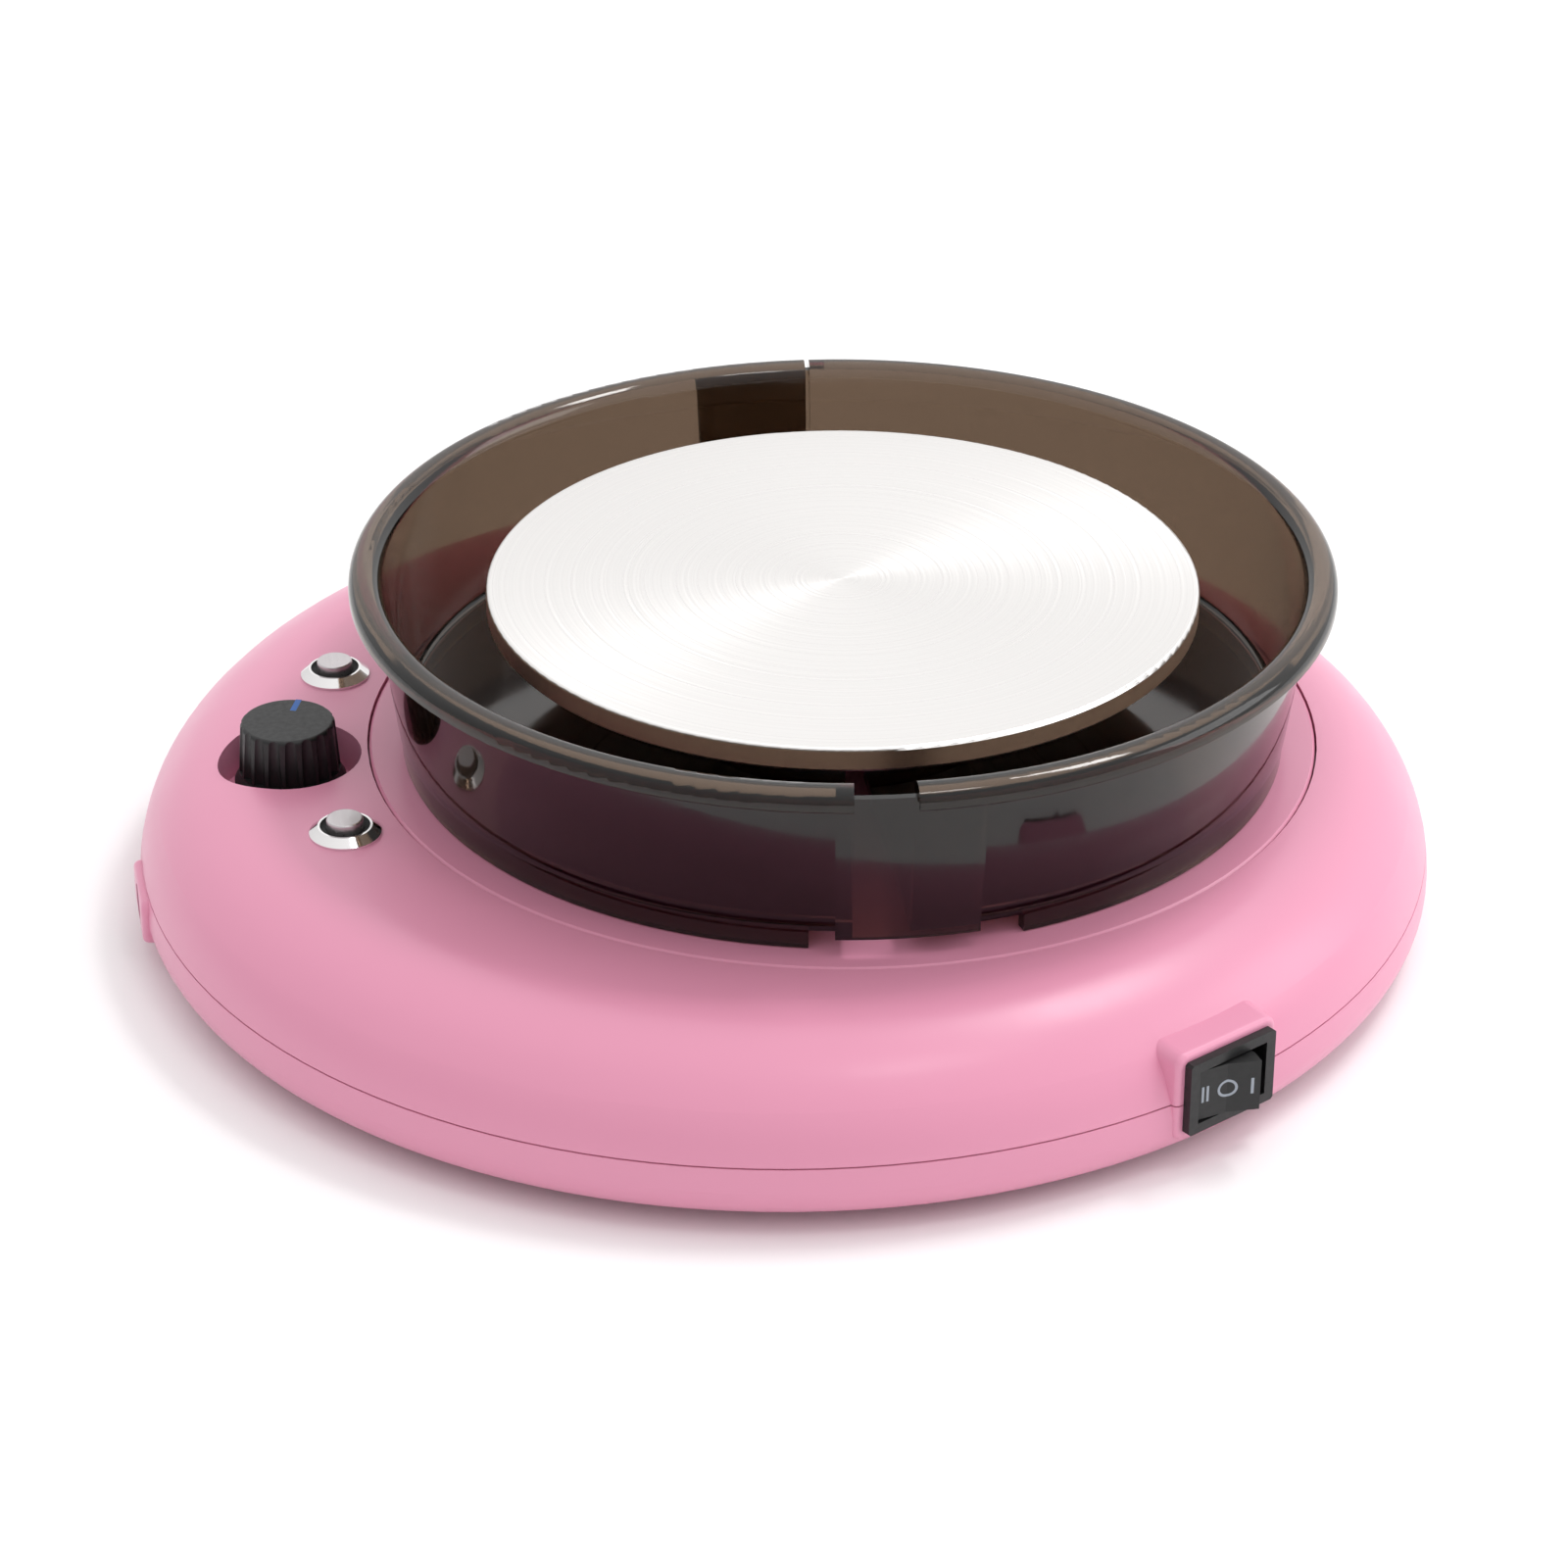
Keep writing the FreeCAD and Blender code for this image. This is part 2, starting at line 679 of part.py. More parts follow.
balls = []
for tier, low in (("lower", LOWER_BEARING), ("upper", UPPER_BEARING)):
    for index, (ball_x, ball_y) in enumerate(ring(7, "(race_outer + race_inner) / 2", 0, "offset")):
        ball = doc.addObject("Part::Sphere", f"ball_{tier}_{index}")
        ball.setExpression("Radius", link("ball_radius"))
        ball.setExpression("Placement.Base.x", link(ball_x))
        ball.setExpression("Placement.Base.y", link(ball_y))
        ball.setExpression("Placement.Base.z", link(f"{low} + bearing_width / 2"))
        balls.append(ball)
bearing_balls = doc.addObject("Part::Compound", "bearing_balls")
bearing_balls.Label = "bearing_balls"
bearing_balls.Links = balls
nodes.append(bearing_balls)

spindle = new_body("spindle", "offset")
turned(
    spindle,
    "spindle_section",
    [
        ("0", "pulley_low"),
        ("spindle_radius - 0.5", "pulley_low"),
        ("spindle_radius", "pulley_low + 0.5"),
        ("spindle_radius", f"{TABLE_UNDER} - 2"),
        ("spindle_radius - 0.5", f"{TABLE_UNDER} - 1.5"),
        ("0", f"{TABLE_UNDER} - 1.5"),
    ],
)


def pulley(label, x, y, bore, floor, hub, hub_top):
    """Flanged pulley for a flat belt with a hub above it."""
    body = new_body(label, x, y)
    rim = f"{floor} + 2"
    return turned(
        body,
        f"{label}_section",
        [
            (bore, "pulley_low"),
            (rim, "pulley_low"),
            (rim, "belt_low - 0.3"),
            (floor, "belt_low - 0.3"),
            (floor, "belt_high + 0.3"),
            (rim, "belt_high + 0.3"),
            (rim, "pulley_high"),
            (hub, "pulley_high"),
            (hub, hub_top),
            (bore, hub_top),
        ],
    )


pulley("spindle_pulley", "offset", "0", "spindle_radius", "large_pulley", "7", LOWER_BEARING)
pulley("motor_pulley", *MOTOR, "1", "small_pulley", "2.5", "pulley_high + 0.4")

# Belt: the loop round both pulleys, open inside.
drive_belt = new_body("drive_belt", "offset")


def belt_loop(name, grow, low):
    """Tangent loop round both pulleys, its radii grown by an expression."""
    large = f"(large_pulley + {grow})"
    small = f"(small_pulley + {grow})"
    lean = "(large_pulley - small_pulley) / motor_distance"
    reach = f"sqrt(1 - ({lean})^2)"
    sketch = new_sketch(drive_belt, name, lift=low)
    corners = [
        (f"{large} * {reach}", f"{large} * {lean}"),
        (f"{small} * {reach}", f"motor_distance + {small} * {lean}"),
        ("0", f"motor_distance + {small}"),
        (f"-{small} * {reach}", f"motor_distance + {small} * {lean}"),
        (f"-{large} * {reach}", f"{large} * {lean}"),
        (f"-{large}", "0"),
        ("0", f"-{large}"),
        (large, "0"),
    ]
    arcs = {1: small, 2: small, 4: large, 5: large, 6: large, 7: large}
    add_outline(sketch, corners, arcs)
    return sketch


pad(drive_belt, belt_loop("belt_outside", "belt_gap + belt_thick", "belt_low"),
    "belt_high - belt_low")
pocket(drive_belt, belt_loop("belt_inside", "belt_gap", "belt_high + 1"),
       "belt_high - belt_low + 2")

motor_can = new_body("motor_can", *MOTOR)
turned(
    motor_can,
    "can_section",
    [
        ("1.05", "plate_level + 0.1"),
        ("3.5", "plate_level + 0.1"),
        ("3.5", PLATE_TOP),
        ("motor_radius - 1", PLATE_TOP),
        ("motor_radius", f"{PLATE_TOP} + 1"),
        ("motor_radius", "motor_top - 1.5"),
        ("motor_radius - 1.2", "motor_top - 1.5"),
        ("motor_radius - 1.2", f"{PLATE_TOP} + 1.2"),
        ("1.05", f"{PLATE_TOP} + 1.2"),
    ],
)
bores(motor_can, "can_threads", ring(2, "10"), "plate_level", f"{PLATE_TOP} + 3", "1.25")

motor_end_cap = new_body("motor_end_cap", *MOTOR)
turned(motor_end_cap, "cap_section", [
    ("0", "motor_top - 1.5"),
    ("motor_radius", "motor_top - 1.5"),
    ("motor_radius", "motor_top - 0.4"),
    ("motor_radius - 0.4", "motor_top"),
    ("0", "motor_top"),
])

motor_terminals = new_body("motor_terminals", *MOTOR)
terminal_sketch = new_sketch(motor_terminals, "motor_terminal_tabs", lift="motor_top")
for terminal_x in ("-9", "9"):
    add_outline(terminal_sketch, rectangle(f"{terminal_x} - 1.2", f"{terminal_x} + 1.2",
                                           "-0.3", "0.3"))
pad(motor_terminals, terminal_sketch, "1.2")

motor_magnets = new_body("motor_magnets", *MOTOR)
magnet_sketch = new_sketch(motor_magnets, "magnet_ring", lift=f"{PLATE_TOP} + 2")
add_circle(magnet_sketch, "0", "0", "motor_radius - 1.2")
add_circle(magnet_sketch, "0", "0", "motor_radius - 3.2")
pad(motor_magnets, magnet_sketch, "12")

motor_rotor = new_body("motor_rotor", *MOTOR)
rotor_sketch = new_sketch(motor_rotor, "rotor_core", lift=f"{PLATE_TOP} + 3")
add_circle(rotor_sketch, "0", "0", "motor_radius - 3.6")
add_circle(rotor_sketch, "0", "0", "1")
pad(motor_rotor, rotor_sketch, "10")
bores(motor_rotor, "rotor_slots", ring(3, "8.5"), "10", "motor_top", "2")

motor_shaft = new_body("motor_shaft", *MOTOR)
posts(motor_shaft, "motor_shaft_rod", CENTRE, "pulley_low", "motor_top - 2", "1")

motor_screws = new_body("motor_screws", *MOTOR)
posts(motor_screws, "motor_screw_shanks", ring(2, "10"), "plate_level",
      f"{PLATE_TOP} + 1.2", "1.25")
posts(motor_screws, "motor_screw_heads", ring(2, "10"), "plate_level - 1.5", "plate_level",
      "2.5")

# ---------------------------------------------------------------- turntable

HUB_LOW = "(housing_top + 0.6)"
HUB_SCREWS = ring(4, "15")
turntable_hub = new_body("turntable_hub", "offset")
turned(
    turntable_hub,
    "hub_section",
    [
        ("spindle_radius", HUB_LOW),
        ("hub_radius", HUB_LOW),
        ("hub_radius", f"{TABLE_UNDER} - flange_thick"),
        ("bell_radius - 2.5", f"{TABLE_UNDER} - flange_thick"),
        ("bell_radius - 2.5", "pan_floor_top + 1.4"),
        ("bell_radius", "pan_floor_top + 1.4"),
        ("bell_radius", f"{TABLE_UNDER} - flange_thick"),
        ("flange_radius", f"{TABLE_UNDER} - flange_thick"),
        ("flange_radius", TABLE_UNDER),
        ("spindle_radius", TABLE_UNDER),
    ],
)
bores(turntable_hub, "hub_holes", HUB_SCREWS, "50", "turntable_top", "2.1")
grub_hole = new_sketch(turntable_hub, "grub_hole", "YZ_Plane", "30")
add_circle(grub_hole, "0", "50", "1.5")
pocket(turntable_hub, grub_hole, "30 - spindle_radius")

hub_grub_screw = new_body("hub_grub_screw", "offset")
grub = new_sketch(hub_grub_screw, "grub", "YZ_Plane", "spindle_radius")
add_circle(grub, "0", "50", "1.5")
pad(hub_grub_screw, grub, "5")

hub_screws = new_body("hub_screws", "offset")
posts(hub_screws, "hub_screw_shanks", HUB_SCREWS, f"{TABLE_UNDER} - flange_thick",
      f"{TABLE_UNDER} + 2.8", "2")
posts(hub_screws, "hub_screw_heads", HUB_SCREWS, f"{TABLE_UNDER} - flange_thick - 2.4",
      f"{TABLE_UNDER} - flange_thick", "3.4")

turntable = new_body("turntable", "offset")
turned(
    turntable,
    "turntable_section",
    [
        ("0", TABLE_UNDER),
        ("turntable_radius - turntable_edge", TABLE_UNDER),
        ("turntable_radius", f"{TABLE_UNDER} + turntable_edge"),
        ("turntable_radius", "turntable_top - turntable_edge"),
        ("turntable_radius - turntable_edge", "turntable_top"),
        ("0", "turntable_top"),
    ],
    {3: "turntable_edge"},
)
bores(turntable, "turntable_threads", HUB_SCREWS, f"{TABLE_UNDER} - 1", f"{TABLE_UNDER} + 3",
      "2")

# ---------------------------------------------------------------- splash pan

SLOPE = "((pan_mouth_radius - pan_foot_radius) / (lip_under - pan_floor_top))"


def wall_radius(level):
    """Outside of the pan wall at a level: it leans outward a little."""
    return f"pan_foot_radius + {SLOPE} * ({level} - pan_floor_top)"


def sector(body, name, start, angle, corners, arcs=None):
    """Part of a turned ring, from a start azimuth through an angle."""
    turn = Rotation(Vector(0, 1, 0), number(start))
    sketch = new_sketch(body, name, "XZ_Plane", placed=Placement(Vector(0, 0, 0), turn))
    sketch.setExpression("AttachmentOffset.Rotation.Angle", link(start))
    add_outline(sketch, corners, arcs)
    return revolve(body, sketch, angle)


def splash_half(label, start):
    """Half of the splash pan: floor, leaning wall, rolled lip, skirt and joining tongue."""
    body = new_body(label, "offset", "0", start)
    groove = "pan_floor_top - 0.4"
    inner = f"{wall_radius('lip_under')} - pan_wall"
    sector(
        body,
        f"{label}_section",
        "0",
        "half_angle",
        [
            ("pan_hole", "pan_floor_low"),
            ("pan_skirt_radius - 2.3", "pan_floor_low"),
            ("pan_skirt_radius - 2.3", "pan_skirt_low"),
            ("pan_skirt_radius", "pan_skirt_low"),
            ("pan_skirt_radius", f"{groove} - 0.6"),
            ("pan_skirt_radius - 0.5", f"{groove} - 0.6"),
            ("pan_skirt_radius - 0.5", groove),
            (wall_radius(groove), groove),
            (wall_radius("lip_under"), "lip_under"),
            ("lip_hook", "lip_under"),
            ("lip_hook", "lip_edge"),
            ("lip_radius - 0.3", "lip_edge"),
            ("lip_radius", "lip_edge + 0.3"),
            ("lip_radius", "lip_top - 3"),
            ("lip_radius - 3", "lip_top"),
            (f"{inner} + 3", "lip_top"),
            (inner, "lip_top - 3"),
            (f"{wall_radius('pan_floor_top + 1.6')} - pan_wall", "pan_floor_top + 1.6"),
            (f"{wall_radius('pan_floor_top')} - pan_wall - 1.6", "pan_floor_top"),
            ("pan_hole + 1.6", "pan_floor_top"),
            ("pan_hole + 1.6", "pan_floor_top + 3.4"),
            ("pan_hole", "pan_floor_top + 3.4"),
        ],
        {13: "3", 15: "3", 17: "-1.6"},
    )
    low = "pan_floor_low"
    top = "lip_under - 0.3"
    near = f"{wall_radius('pan_floor_top')} + tongue_gap"
    near_top = f"{wall_radius(top)} + tongue_gap"
    sector(
        body,
        f"{label}_root",
        "half_angle - 2",
        "2",
        [
            ("pan_skirt_radius - 1", low),
            (f"{near} + tongue_thick", low),
            (f"{near} + tongue_thick", "pan_floor_top"),
            (f"{near_top} + tongue_thick", top),
            (f"{near_top} + tongue_thick", "lip_under"),
            (f"{wall_radius('lip_under')} - 1", "lip_under"),
            ("pan_skirt_radius - 1", "pan_floor_top"),
        ],
    )
    sector(
        body,
        f"{label}_tongue",
        "half_angle - 0.5",
        "tongue_angle + 0.5",
        [
            (near, low),
            (f"{near} + tongue_thick", low),
            (f"{near} + tongue_thick", "pan_floor_top"),
            (f"{near_top} + tongue_thick", top),
            (near_top, top),
            (near, "pan_floor_top"),
        ],
    )
    # The skirt stops short of the joint at both ends, so that the tongues pass.
    for name, first, width in (("early", "-1", "15.3"), ("late", "half_angle - 5.2", "6.2")):
        turn = Rotation(Vector(0, 1, 0), number(first))
        cut = new_sketch(body, f"{label}_gap_{name}", "XZ_Plane",
                         placed=Placement(Vector(0, 0, 0), turn))
        add_outline(cut, rectangle("pan_skirt_radius - 3", "pan_skirt_radius + 0.3",
                                   "pan_skirt_low - 1", "pan_floor_low"))
        revolve(body, cut, width, cut=True)
    return body


splash_half("splash_pan_left", number("left_start"))
splash_half("splash_pan_right", number("left_start + half_step"))

# ---------------------------------------------------------------- speed knob

speed_knob = new_body("speed_knob", *KNOB)
turned(
    speed_knob,
    "knob_section",
    [
        ("0", "knob_low + 12"),
        ("3", "knob_low + 12"),
        ("3", "knob_low + 3.6"),
        ("4.2", "knob_low + 3.6"),
        ("4.2", "knob_low"),
        ("knob_skirt", "knob_low"),
        ("knob_skirt", "knob_low + 1.4"),
        ("knob_radius + 0.7", "knob_low + 3.2"),
        ("knob_radius", "knob_top - 0.8"),
        ("knob_radius - 0.8", "knob_top"),
        ("0", "knob_top"),
    ],
    {8: "0.8"},
)
flutes = new_sketch(speed_knob, "knob_flutes", lift="knob_top + 1")
for spot_x, spot_y in ring(18, "(knob_radius + 1.0)", 10.0):
    add_circle(flutes, spot_x, spot_y, "1.45")
pocket(speed_knob, flutes, "knob_top - knob_low - 2.6")
POINTER_TURN = 72.0
POINTER = rectangle("4.2", "knob_radius - 0.1", "-0.6", "0.6")
pointer_place = Placement(Vector(0, 0, number("knob_top")), Rotation(Vector(0, 0, 1), POINTER_TURN))
pointer_seat = new_sketch(speed_knob, "pointer_seat", placed=pointer_place)
add_outline(pointer_seat, POINTER)
pocket(speed_knob, pointer_seat, "0.5")

knob_pointer = new_body("knob_pointer", *KNOB)
pointer_low = Placement(Vector(0, 0, number("knob_top - 0.5")),
                        Rotation(Vector(0, 0, 1), POINTER_TURN))
pointer_sketch = new_sketch(knob_pointer, "pointer_bar", placed=pointer_low)
add_outline(pointer_sketch, rectangle("4.2", "knob_radius - 0.4", "-0.6", "0.6"))
pad(knob_pointer, pointer_sketch, "0.5")

pot_shaft = new_body("pot_shaft", *KNOB)
posts(pot_shaft, "pot_shaft_rod", CENTRE, "well_floor - 8", "knob_low + 12", "3")

potentiometer = new_body("potentiometer", *KNOB)
turned(
    potentiometer,
    "pot_section",
    [
        ("0", "well_floor - 10.5"),
        ("8.5", "well_floor - 10.5"),
        ("8.5", "well_floor - 2"),
        ("3.5", "well_floor - 2"),
        ("3.5", "well_floor + 5"),
        ("3.05", "well_floor + 5"),
        ("3.05", "well_floor - 8.4"),
        ("0", "well_floor - 8.4"),
    ],
)

pot_washer = new_body("pot_washer", *KNOB)
washer_sketch = new_sketch(pot_washer, "washer", lift="well_floor")
add_circle(washer_sketch, "0", "0", "5.8")
add_circle(washer_sketch, "0", "0", "3.5")
pad(pot_washer, washer_sketch, "0.4")

pot_nut = new_body("pot_nut", *KNOB)
nut_sketch = new_sketch(pot_nut, "pot_nut_hexagon", lift="well_floor + 0.4")
add_outline(nut_sketch, polygon(6, "5"))
add_circle(nut_sketch, "0", "0", "3.5")
pad(pot_nut, nut_sketch, "1.8")

pot_terminals = new_body("pot_terminals", *KNOB)
for index, pin_y in enumerate(("-5", "0", "5")):
    block(pot_terminals, f"pot_pin_{index}",
          rectangle("8", "13.5", f"{pin_y} - 0.6", f"{pin_y} + 0.6"),
          "well_floor - 9.6", "well_floor - 9.2")
slot(potentiometer, "pot_pin_seats", rectangle("8", "9", "-5.6", "5.6"),
     "well_floor - 9.6", "well_floor - 9.2")

# ---------------------------------------------------------------- push buttons


BARREL_LOW = "18"


def push_button(name, x, y):
    """Metal push button held in the deck by a nut from below."""
    bezel = new_body(f"{name}_bezel", x, y)
    turned(
        bezel,
        f"{name}_bezel_section",
        [
            ("button_cap + 0.08", BARREL_LOW),
            ("button_barrel", BARREL_LOW),
            ("button_barrel", "deck_level"),
            ("button_flange", "deck_level"),
            ("button_flange", "deck_level + 0.5"),
            ("5.3", "deck_level + 1.9"),
            ("4.85", "deck_level + 1.9"),
            ("4.85", "deck_level + 0.3"),
            ("button_cap + 0.08", "deck_level + 0.3"),
        ],
    )
    cap = new_body(f"{name}_cap", x, y)
    turned(
        cap,
        f"{name}_cap_section",
        [
            ("0", "26"),
            ("1.2", "26"),
            ("1.2", "deck_level - 1.7"),
            ("button_cap", "deck_level - 1.7"),
            ("button_cap", "deck_level + 3.1"),
            ("button_cap - 0.4", "deck_level + 3.5"),
            ("1", "deck_level + 3.6"),
            ("0", "deck_level + 3.6"),
        ],
        {4: "0.4"},
    )
    coil(f"{name}_spring", x, y)


def coil(label, x, y):
    """Return spring of a push button; the round wire is drawn with twelve flats."""
    bottom = 24.33
    helix = doc.addObject("Part::Helix", f"{label}_path")
    helix.Pitch = 2.075
    helix.Height = 8.3
    helix.Radius = 2.4
    wire = doc.addObject("Part::RegularPolygon", f"{label}_wire")
    wire.Polygon = 12
    wire.Circumradius = 0.3
    wire.Placement = Placement(Vector(2.4, 0, 0), Rotation(Vector(1, 0, 0), 90))
    sweep = doc.addObject("Part::Sweep", label)
    sweep.Label = label
    sweep.Sections = [wire]
    sweep.Spine = (helix, ["Edge1"])
    sweep.Solid = True
    sweep.Frenet = True
    sweep.Placement = Placement(Vector(number(x), number(y), bottom), Rotation())
    sweep.setExpression("Placement.Base.x", link(x))
    sweep.setExpression("Placement.Base.y", link(y))
    nodes.append(sweep)
    doc.recompute()


for button, (spot_x, spot_y) in zip(("button_a", "button_b"), BUTTONS):
    push_button(button, spot_x, spot_y)

button_seals = new_body("button_seals")
seal_rings = new_sketch(button_seals, "seal_rings", lift="deck_level + 0.3")
for spot_x, spot_y in BUTTONS:
    add_circle(seal_rings, spot_x, spot_y, "4.85")
    add_circle(seal_rings, spot_x, spot_y, "button_cap + 0.08")
pad(button_seals, seal_rings, "0.9")

button_bases = new_body("button_bases")
posts(button_bases, "base_plugs", BUTTONS, BARREL_LOW, "24", "button_cap + 0.08")
posts(button_bases, "base_cups", BUTTONS, "14.5", BARREL_LOW, "5.4")

button_terminals = new_body("button_terminals")
tabs = new_sketch(button_terminals, "button_tabs", lift="9.5")
for spot_x, spot_y in BUTTONS:
    for side in ("- 2.5", "+ 2.5"):
        add_outline(tabs, rectangle(f"{spot_x} {side} - 0.25", f"{spot_x} {side} + 0.25",
                                    f"{spot_y} - 1", f"{spot_y} + 1"))
pad(button_terminals, tabs, "5")

button_nuts = new_body("button_nuts")
hexagons = new_sketch(button_nuts, "nut_hexagons", lift=f"{SKIN_UNDER} - 2.65")
for spot_x, spot_y in BUTTONS:
    corners = [(f"{spot_x} + {x}", f"{spot_y} + {y}") for x, y in polygon(6, "7", 30.0)]
    add_outline(hexagons, corners)
    add_circle(hexagons, spot_x, spot_y, "button_barrel")
pad(button_nuts, hexagons, "2.5")

# ---------------------------------------------------------------- rocker switch

PIVOT_DEPTH = "-3"
rocker_frame = side_body("rocker_frame", "rocker")
bezel_corners = [
    ("-10", "-7.5"),
    ("10", "-7.5"),
    ("10.5", "-7"),
    ("10.5", "7"),
    ("10", "7.5"),
    ("-10", "7.5"),
    ("-10.5", "7"),
    ("-10.5", "-7"),
]
block(rocker_frame, "rocker_bezel", bezel_corners, "0", "1.75")
block(rocker_frame, "rocker_case", rectangle("-9.6", "9.6", "-6.45", "6.45"), "-12", "0")
slot(rocker_frame, "rocker_window", rectangle("-8.3", "8.3", "-5.5", "5.5"), "-10.5", "3")
pivot_holes = new_sketch(rocker_frame, "pivot_holes", "XZ_Plane", "10")
add_circle(pivot_holes, "0", PIVOT_DEPTH, "1.25")
pocket(rocker_frame, pivot_holes, "20")

rocker = side_body("rocker", "rocker")
tilt = math.radians(20.0)
pivot_z = number(PIVOT_DEPTH)


def tilted(x, z):
    """Point of the rocker section turned about its pivot into the resting tilt."""
    dx = x
    dz = z - pivot_z
    new_x = dx * math.cos(tilt) - dz * math.sin(tilt)
    new_z = dx * math.sin(tilt) + dz * math.cos(tilt) + pivot_z
    return f"{new_x:.4f}", f"{new_z:.4f}"


rocker_section = new_sketch(rocker, "rocker_section", "XZ_Plane", "-5.2")
section_points = [(-4.5, -5.0), (4.5, -5.0), (6.1, 0.6), (6.2, 3.6), (0.0, 2.6), (-6.2, 3.6),
                  (-6.1, 0.6)]
add_outline(rocker_section, [tilted(x, z) for x, z in section_points])
rocker_pad = pad(rocker, rocker_section, "10.4")
stubs = new_sketch(rocker, "pivot_stubs", "XZ_Plane", "-6.3")
add_circle(stubs, "0", PIVOT_DEPTH, "1.2")
pad(rocker, stubs, "12.6")

rocker_terminals = side_body("rocker_terminals", "rocker")
blades = new_sketch(rocker_terminals, "rocker_blades", lift="-18")
for blade_x in ("-6.5", "0", "6.5"):
    add_outline(blades, rectangle(f"{blade_x} - 0.4", f"{blade_x} + 0.4", "-2.4", "2.4"))
pad(rocker_terminals, blades, "6")

# ---------------------------------------------------------------- DC socket

dc_socket = side_body("dc_socket", "socket")
posts(dc_socket, "socket_case", CENTRE, "-14", "-9.6", "4.2")
posts(dc_socket, "socket_barrel", CENTRE, "-9.6", "-0.3", "3.5")
bores(dc_socket, "socket_bore", CENTRE, "-8.5", "2", "2.85")

dc_socket_pin = side_body("dc_socket_pin", "socket")
posts(dc_socket_pin, "socket_pin_rod", CENTRE, "-8.5", "-0.6", "1.05")

dc_socket_nut = side_body("dc_socket_nut", "socket")
socket_hexagon = new_sketch(dc_socket_nut, "socket_hexagon", lift="-9")
add_outline(socket_hexagon, polygon(6, "4.2"))
add_circle(socket_hexagon, "0", "0", "3.5")
pad(dc_socket_nut, socket_hexagon, "2")

dc_socket_terminals = side_body("dc_socket_terminals", "socket")
tags = new_sketch(dc_socket_terminals, "socket_tags", lift="-18.5")
for tag_y in ("-2.2", "2.2"):
    add_outline(tags, rectangle("-1.2", "1.2", f"{tag_y} - 0.25", f"{tag_y} + 0.25"))
pad(dc_socket_terminals, tags, "4.5")

# ---------------------------------------------------------------- control board

BOARD_TOP = "11.1"
control_board = new_body("control_board")
board_outline = rounded("-83", "-37", "-28", "28", "2")
block(control_board, "board_sheet", board_outline[0], "9.5", BOARD_TOP, board_outline[1])
bores(control_board, "board_holes", BOARD_SPOTS, "9", "12", "1.2")

board_screws = new_body("board_screws")
posts(board_screws, "board_screw_shanks", BOARD_SPOTS, "6.5", BOARD_TOP, "1")
posts(board_screws, "board_screw_heads", BOARD_SPOTS, BOARD_TOP, "12.5", "2")

board_capacitor = new_body("board_capacitor")
posts(board_capacitor, "capacitor_can", [("-66", "14")], BOARD_TOP, "23", "5")

board_transistor = new_body("board_transistor")
block(board_transistor, "transistor_case", rectangle("-56", "-46", "-18", "-13.5"), BOARD_TOP,
      "20")
block(board_transistor, "transistor_tab", rectangle("-56", "-46", "-13.5", "-12.2"), BOARD_TOP,
      "26.5")

board_chip = new_body("board_chip")
block(board_chip, "chip_case", rectangle("-66", "-58", "-6", "4"), BOARD_TOP, "13")

board_connectors = new_body("board_connectors")
connectors = new_sketch(board_connectors, "connector_housings", lift=BOARD_TOP)
for left, right, back, front in (
    ("-81.5", "-75.5", "-15", "-4"),
    ("-81.5", "-75.5", "4", "15"),
    ("-47", "-40", "2", "14"),
):
    add_outline(connectors, rectangle(left, right, back, front))
pad(board_connectors, connectors, "6")

# ---------------------------------------------------------------- check and write

doc.recompute()
for item in doc.Objects:
    if "Invalid" in item.State or "Error" in item.State:
        raise ValueError(f"{item.Name} is {item.State}")
for node in nodes:
    if node.Shape.isNull() or not node.Shape.isValid():
        raise ValueError(f"{node.Label} has no valid shape")
os.makedirs("parts", exist_ok=True)
for node in nodes:
    node.Shape.exportStep(f"parts/{node.Label}.step")
print(len(nodes), "nodes written")
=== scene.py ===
"""Small electric pottery wheel in a plain studio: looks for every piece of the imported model."""
import json
import math

import bmesh
import bpy
from mathutils import Matrix, Vector


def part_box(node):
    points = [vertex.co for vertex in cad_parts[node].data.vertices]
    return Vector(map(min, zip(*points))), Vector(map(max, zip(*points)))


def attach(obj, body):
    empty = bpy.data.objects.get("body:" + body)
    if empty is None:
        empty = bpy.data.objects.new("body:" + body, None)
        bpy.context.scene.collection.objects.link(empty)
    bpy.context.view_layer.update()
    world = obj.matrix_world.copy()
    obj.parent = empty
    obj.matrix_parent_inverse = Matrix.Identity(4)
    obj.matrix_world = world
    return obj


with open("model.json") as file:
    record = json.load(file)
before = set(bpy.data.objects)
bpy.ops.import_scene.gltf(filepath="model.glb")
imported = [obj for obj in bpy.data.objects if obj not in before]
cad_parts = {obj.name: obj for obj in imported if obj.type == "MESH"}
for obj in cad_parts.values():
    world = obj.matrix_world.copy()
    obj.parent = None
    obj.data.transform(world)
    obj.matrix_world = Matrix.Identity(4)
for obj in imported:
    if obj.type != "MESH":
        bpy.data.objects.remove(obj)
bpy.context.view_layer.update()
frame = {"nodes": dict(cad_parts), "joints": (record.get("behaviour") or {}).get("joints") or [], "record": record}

MM = 0.001

JOINTS = {joint["name"]: joint for joint in frame["joints"]}
SLOT_OF = {part["node"]: part["material_slot"] for part in frame["record"]["subparts"]}
TURN_AXIS = Vector(JOINTS["turntable_spin"]["pos_m"])
TABLE_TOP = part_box("turntable")[1].z

# ------------------------------------------------------------------ material tools


